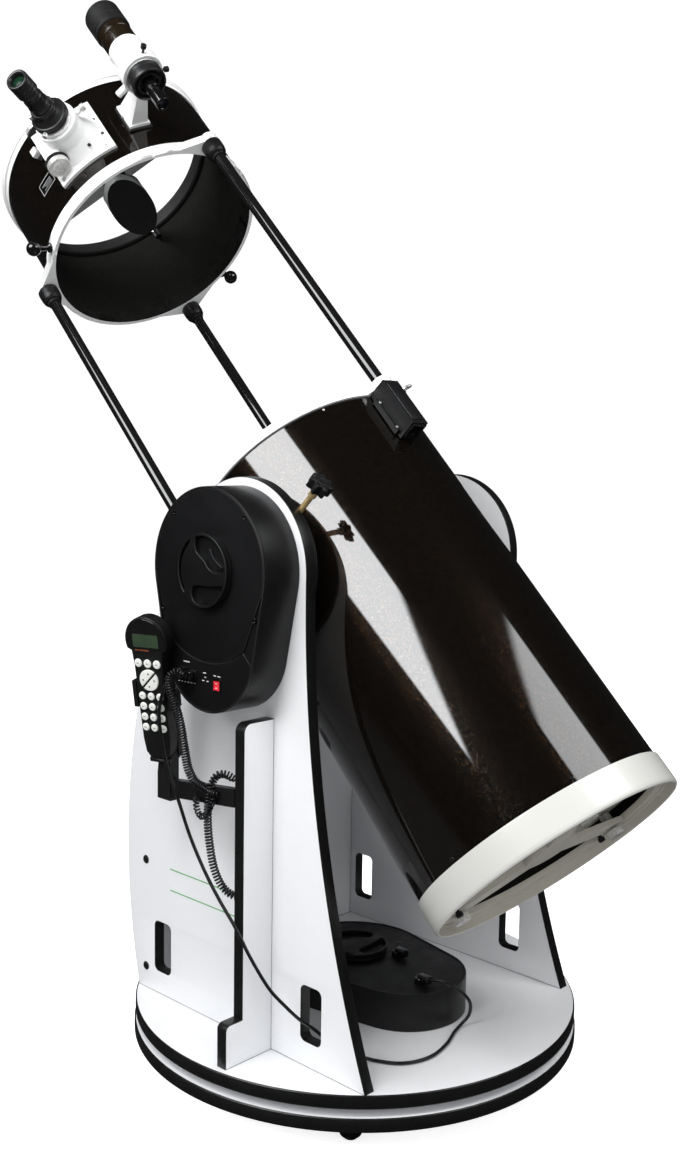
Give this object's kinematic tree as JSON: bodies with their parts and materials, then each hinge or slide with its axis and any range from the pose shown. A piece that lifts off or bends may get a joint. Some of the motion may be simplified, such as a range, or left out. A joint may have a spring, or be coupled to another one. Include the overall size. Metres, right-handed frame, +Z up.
{
  "type": "dobsonian telescope",
  "caption": "Truss-tube Newtonian telescope that collapses, on a motorised rocker box with round turntable, drives, finder, focuser and hand controller.",
  "frame": {"origin": "on the floor under the azimuth axis, at the centre of the feet", "axes": "+Z up; +Y the way the tube points; +X to the right of an observer behind the telescope; altitude axis along X"},
  "size_m": [0.6578, 1.2256, 1.5547],
  "materials": {
    "laminate": "white melamine laminate with black plastic edge banding",
    "black_plastic": "moulded black plastic",
    "drive_plastic": "fine textured black moulding",
    "steel": "turned steel",
    "bronze": "cut bronze",
    "nylon": "natural nylon",
    "red_plastic": "translucent red rocker, lit",
    "black_metal": "black painted or anodised metal",
    "key_rubber": "off-white silicone rubber",
    "tube_paint": "gloss black paint with fine bronze metallic flake",
    "white_paint": "white powder coat on die casting",
    "mirror": "aluminised glass",
    "chrome": "plated zinc",
    "rod_paint": "gloss black painted tube",
    "aluminium": "satin machined aluminium"
  },
  "bodies": {
    "ground": {"ground_board": "laminate", "feet": "black_plastic", "azimuth_post": "steel", "azimuth_worm_wheel": "bronze"},
    "roller": {"roller_ring": "nylon"},
    "rocker": {"turntable": "laminate", "near_side_board": "laminate", "far_side_board": "laminate", "front_board": "laminate", "side_fin": "laminate", "screw_caps": "black_plastic", "azimuth_housing": "drive_plastic", "azimuth_motor": "steel", "altitude_housing": "drive_plastic", "altitude_cover": "drive_plastic", "control_panel": "drive_plastic", "altitude_motor": "steel", "handset_holder": "black_metal"},
    "azimuth_worm": {"azimuth_worm": "steel"},
    "azimuth_grip": {"azimuth_grip": "drive_plastic"},
    "power_switch": {"power_switch": "red_plastic"},
    "altitude_worm": {"altitude_worm": "steel"},
    "handset": {"handset_shell": "black_plastic"},
    "keys": {"handset_keys": "key_rubber"},
    "pad": {"direction_pad": "key_rubber"},
    "tube": {"lower_tube": "tube_paint", "lower_top_ring": "white_paint", "rear_ring": "white_paint", "mirror_cell": "black_metal", "primary_mirror": "mirror", "collimation_springs": "steel", "altitude_flange": "black_metal", "altitude_shaft": "steel", "altitude_worm_wheel": "bronze", "far_trunnion": "black_metal", "rod_clamps": "black_metal"},
    "collimation": {"collimation_knobs": "black_plastic"},
    "altitude_grip": {"altitude_grip": "drive_plastic"},
    "lock_knob": {"lock_knob": "black_plastic"},
    "clamp_1": {"clamp_knob_1": "chrome"},
    "clamp_2": {"clamp_knob_2": "chrome"},
    "clamp_3": {"clamp_knob_3": "chrome"},
    "cage": {"cage_tube": "tube_paint", "cage_front_ring": "white_paint", "cage_rear_ring": "white_paint", "truss_rods": "rod_paint", "rod_caps": "black_plastic", "pull_handles": "black_plastic", "spider": "black_metal", "secondary_holder": "black_metal", "secondary_mirror": "mirror", "focuser_body": "white_paint", "finder_bracket": "white_paint", "finder_tube": "white_paint", "finder_screws": "black_plastic"},
    "drawtube": {"focuser_drawtube": "aluminium", "eyepiece_adapter": "black_metal"},
    "eyepiece": {"eyepiece": "black_metal"},
    "focus": {"focus_knobs": "aluminium"},
    "finder_eyepiece": {"finder_eyepiece": "black_metal"}
  },
  "joints": [
    {"name": "azimuth", "type": "hinge", "parent": "ground", "child": "rocker", "pos_m": [0, 0, 0.087], "axis": [0, 0, 1], "continuous": true},
    {"name": "roller_spin", "type": "hinge", "parent": "ground", "child": "roller", "pos_m": [0, 0, 0.063], "axis": [0, 0, 1], "continuous": true},
    {"name": "azimuth_grip_turn", "type": "hinge", "parent": "ground", "child": "azimuth_grip", "pos_m": [0, 0, 0.141], "axis": [0, 0, 1], "range_deg": [0, 180]},
    {"name": "azimuth_worm_spin", "type": "hinge", "parent": "rocker", "child": "azimuth_worm", "pos_m": [0, -0.0791, 0.101], "axis": [1, 0, 0], "continuous": true},
    {"name": "altitude", "type": "hinge", "parent": "rocker", "child": "tube", "pos_m": [0, 0.003, 0.725], "axis": [1, 0, 0], "range_deg": [-46, 44]},
    {"name": "altitude_worm_spin", "type": "hinge", "parent": "rocker", "child": "altitude_worm", "pos_m": [-0.246, 0.003, 0.6459], "axis": [0, 1, 0], "continuous": true},
    {"name": "power_switch_rock", "type": "hinge", "parent": "rocker", "child": "power_switch", "pos_m": [-0.286, -0.016, 0.579], "axis": [0, 1, 0], "range_deg": [-8, 8]},
    {"name": "handset_lift", "type": "slide", "parent": "rocker", "child": "handset", "axis": [-0.1731, -0.0513, 0.9836], "range_m": [0, 0.12]},
    {"name": "keys_press", "type": "slide", "parent": "handset", "child": "keys", "axis": [0.9431, 0.2793, 0.1805], "range_m": [0, 0.001]},
    {"name": "pad_press", "type": "slide", "parent": "handset", "child": "pad", "axis": [0.9431, 0.2793, 0.1805], "range_m": [0, 0.001]},
    {"name": "collimation_screw", "type": "slide", "parent": "tube", "child": "collimation", "axis": [0, 0.6947, 0.7193], "range_m": [-0.002, 0.002]},
    {"name": "altitude_grip_turn", "type": "hinge", "parent": "tube", "child": "altitude_grip", "pos_m": [-0.289, 0.003, 0.725], "axis": [-1, 0, 0], "range_deg": [0, 180]},
    {"name": "lock_knob_turn", "type": "hinge", "parent": "tube", "child": "lock_knob", "pos_m": [-0.202, -0.08332, 0.80836], "axis": [0, -0.7193, 0.6947], "range_deg": [0, 540]},
    {"name": "clamp_turn_1", "type": "hinge", "parent": "tube", "child": "clamp_1", "pos_m": [0, -0.04038, 0.96151], "axis": [1, 0, 0], "range_deg": [0, 270]},
    {"name": "clamp_turn_2", "type": "hinge", "parent": "tube", "child": "clamp_2", "pos_m": [-0.14976, 0.19065, 0.73841], "axis": [-0.6428, -0.551, 0.5321], "range_deg": [0, 270]},
    {"name": "clamp_turn_3", "type": "hinge", "parent": "tube", "child": "clamp_3", "pos_m": [0.14976, 0.19065, 0.73841], "axis": [-0.6428, 0.551, -0.5321], "range_deg": [0, 270]},
    {"name": "truss_slide", "type": "slide", "parent": "tube", "child": "cage", "axis": [0, 0.6947, 0.7193], "range_m": [-0.49, 0]},
    {"name": "focus_turn", "type": "hinge", "parent": "cage", "child": "focus", "pos_m": [-0.19553, 0.49214, 1.33419], "axis": [0, -0.6947, -0.7193], "range_deg": [-82, 246]},
    {"name": "drawtube_slide", "type": "slide", "parent": "cage", "child": "drawtube", "axis": [-0.866, -0.3597, 0.3473], "range_m": [-0.01, 0.03]},
    {"name": "eyepiece_pull", "type": "slide", "parent": "drawtube", "child": "eyepiece", "axis": [-0.866, -0.3597, 0.3473], "range_m": [0, 0.04]},
    {"name": "finder_focus", "type": "hinge", "parent": "cage", "child": "finder_eyepiece", "pos_m": [-0.13239, 0.31015, 1.4015], "axis": [0, 0.6947, 0.7193], "range_deg": [-180, 180]}
  ],
  "couplings": [
    {"joint": "roller_spin", "follows": "azimuth", "ratio": 0.5},
    {"joint": "azimuth_worm_spin", "follows": "azimuth", "ratio": 60},
    {"joint": "altitude_worm_spin", "follows": "altitude", "ratio": 60},
    {"joint": "focus_turn", "follows": "drawtube_slide", "rad_per_m": 142.86}
  ]
}
